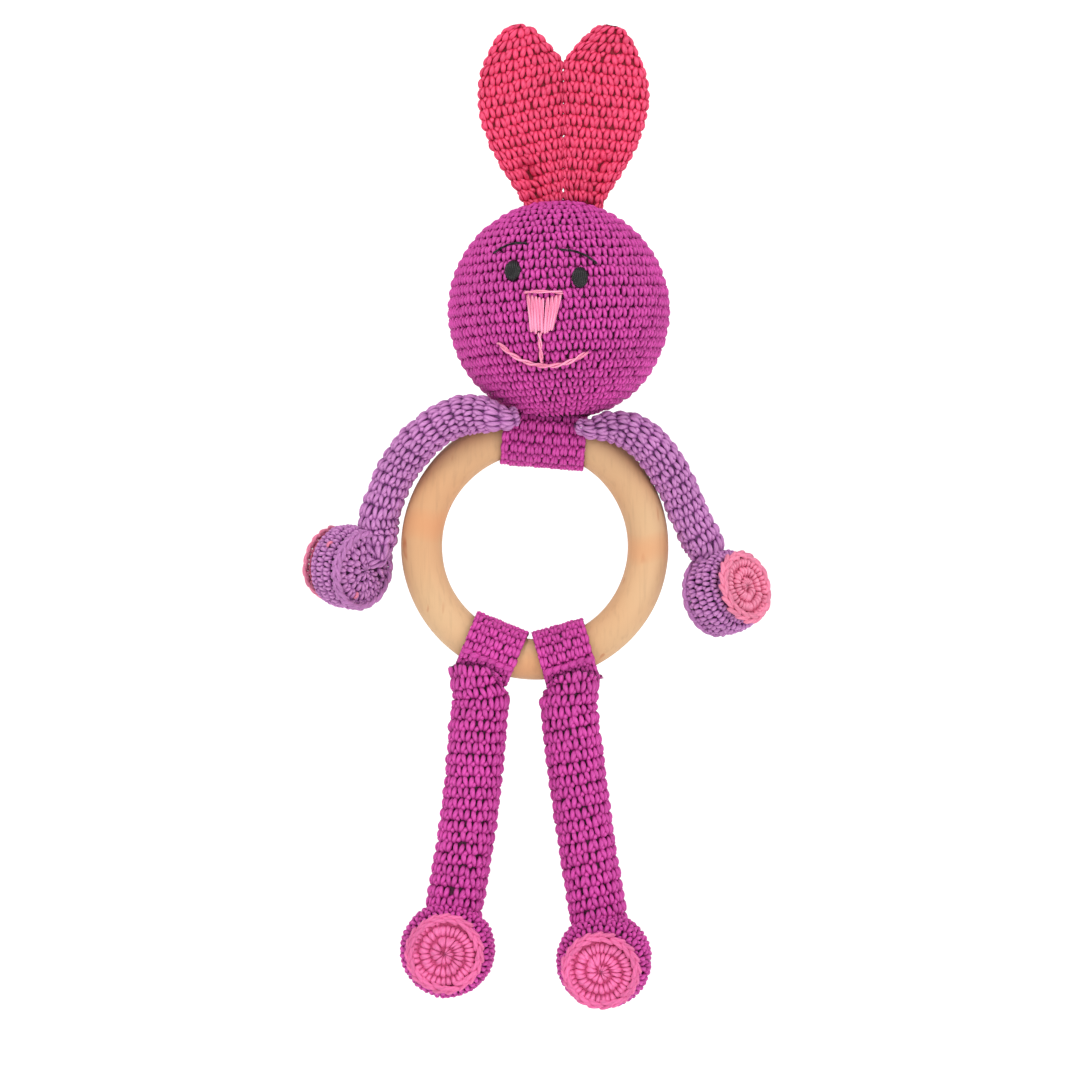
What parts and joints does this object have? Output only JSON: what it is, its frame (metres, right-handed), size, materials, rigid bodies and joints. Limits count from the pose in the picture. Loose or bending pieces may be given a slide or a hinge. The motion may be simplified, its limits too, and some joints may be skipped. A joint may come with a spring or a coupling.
{
  "type": "baby rattle",
  "caption": "Crocheted rabbit rattle on a round wooden teething ring: ball head with a rattle capsule, flat ears, stuffed arms and legs that slide and swing on the ring.",
  "frame": {"origin": "centre of the wooden ring's grip hole", "axes": "+Z towards the ears, the face looks along -Y, the ring's axis is Y"},
  "size_m": [0.1221, 0.0589, 0.2571],
  "materials": {
    "beech": "fine sanded bare beech, matte",
    "magenta_cotton": "single crochet in mercerised cotton yarn, slight sheen",
    "orchid_cotton": "single crochet in mercerised cotton yarn, slight sheen",
    "red_cotton": "single crochet in mercerised cotton yarn, slight sheen",
    "pink_cotton": "single crochet in mercerised cotton yarn, slight sheen",
    "pale_pink_thread": "embroidery thread, satin sheen",
    "black_thread": "embroidery thread, satin sheen",
    "fibre_filling": "loose polyester fibre",
    "capsule_plastic": "smooth moulded plastic",
    "pellet_plastic": "smooth moulded plastic"
  },
  "bodies": {
    "ring": {"wooden_ring": "beech"},
    "neck": {"neck_band": "magenta_cotton", "neck_band_seam": "magenta_cotton"},
    "head": {"head_shell": "magenta_cotton", "head_stuffing": "fibre_filling", "rattle_capsule_lower": "capsule_plastic", "rattle_capsule_upper": "capsule_plastic", "left_eye": "black_thread", "right_eye": "black_thread", "left_eyebrow": "black_thread", "right_eyebrow": "black_thread", "nose": "pale_pink_thread", "nose_bar": "pale_pink_thread", "mouth_line": "pale_pink_thread", "philtrum": "pale_pink_thread"},
    "rattle": {"rattle_pellets": "pellet_plastic"},
    "left_ear": {"left_ear": "red_cotton"},
    "right_ear": {"right_ear": "red_cotton"},
    "left_arm": {"left_arm_tube": "orchid_cotton", "left_arm_stuffing": "fibre_filling", "left_hand_shell": "orchid_cotton", "left_hand_stuffing": "fibre_filling", "left_hand_rim": "orchid_cotton", "left_palm_pad": "pink_cotton"},
    "left_loop": {"left_leg_loop": "magenta_cotton", "left_leg_loop_seam": "magenta_cotton"},
    "left_leg": {"left_leg_tube": "magenta_cotton", "left_leg_stuffing": "fibre_filling", "left_foot_shell": "magenta_cotton", "left_foot_stuffing": "fibre_filling", "left_foot_pad": "pink_cotton"},
    "right_arm": {"right_arm_tube": "orchid_cotton", "right_arm_stuffing": "fibre_filling", "right_hand_shell": "orchid_cotton", "right_hand_stuffing": "fibre_filling", "right_hand_rim": "orchid_cotton", "right_palm_pad": "pink_cotton"},
    "right_loop": {"right_leg_loop": "magenta_cotton", "right_leg_loop_seam": "magenta_cotton"},
    "right_leg": {"right_leg_tube": "magenta_cotton", "right_leg_stuffing": "fibre_filling", "right_foot_shell": "magenta_cotton", "right_foot_stuffing": "fibre_filling", "right_foot_pad": "pink_cotton"}
  },
  "joints": [
    {"name": "neck_slide", "type": "hinge", "parent": "ring", "child": "neck", "pos_m": [0, 0, 0], "axis": [0, 1, 0], "range_deg": [-12, 12]},
    {"name": "head_nod", "type": "hinge", "parent": "neck", "child": "head", "pos_m": [0.00237, 0, 0.0295], "axis": [0.9968, 0, -0.0802], "range_deg": [-20, 6], "stiffness_Nm_per_rad": 0.12},
    {"name": "rattle_tumble", "type": "hinge", "parent": "head", "child": "rattle", "pos_m": [0.0062, 0, 0.0614], "axis": [1, 0, 0], "continuous": true},
    {"name": "left_ear_fold", "type": "hinge", "parent": "head", "child": "left_ear", "pos_m": [0.0016, 0, 0.0927], "axis": [1, 0, 0], "range_deg": [-75, 75], "stiffness_Nm_per_rad": 0.004},
    {"name": "right_ear_fold", "type": "hinge", "parent": "head", "child": "right_ear", "pos_m": [0.0132, 0, 0.0927], "axis": [1, 0, 0], "range_deg": [-75, 75], "stiffness_Nm_per_rad": 0.004},
    {"name": "left_arm_lift", "type": "hinge", "parent": "neck", "child": "left_arm", "pos_m": [-0.01, -0.0105, 0.034], "axis": [-1, 0, 0], "range_deg": [0, 50], "stiffness_Nm_per_rad": 0.03},
    {"name": "right_arm_lift", "type": "hinge", "parent": "neck", "child": "right_arm", "pos_m": [0.014, -0.0104, 0.0312], "axis": [-1, 0, 0], "range_deg": [0, 50], "stiffness_Nm_per_rad": 0.03},
    {"name": "left_loop_slide", "type": "hinge", "parent": "ring", "child": "left_loop", "pos_m": [0, 0, 0], "axis": [0, 1, 0], "range_deg": [0, 25]},
    {"name": "left_leg_swing", "type": "hinge", "parent": "left_loop", "child": "left_leg", "pos_m": [-0.01137, 0, -0.02733], "axis": [0.9232, 0, -0.3843], "range_deg": [-42, 42]},
    {"name": "right_loop_slide", "type": "hinge", "parent": "ring", "child": "right_loop", "pos_m": [0, 0, 0], "axis": [0, -1, 0], "range_deg": [0, 25]},
    {"name": "right_leg_swing", "type": "hinge", "parent": "right_loop", "child": "right_leg", "pos_m": [0.00806, 0, -0.02848], "axis": [0.9622, 0, 0.2723], "range_deg": [-42, 42]}
  ]
}
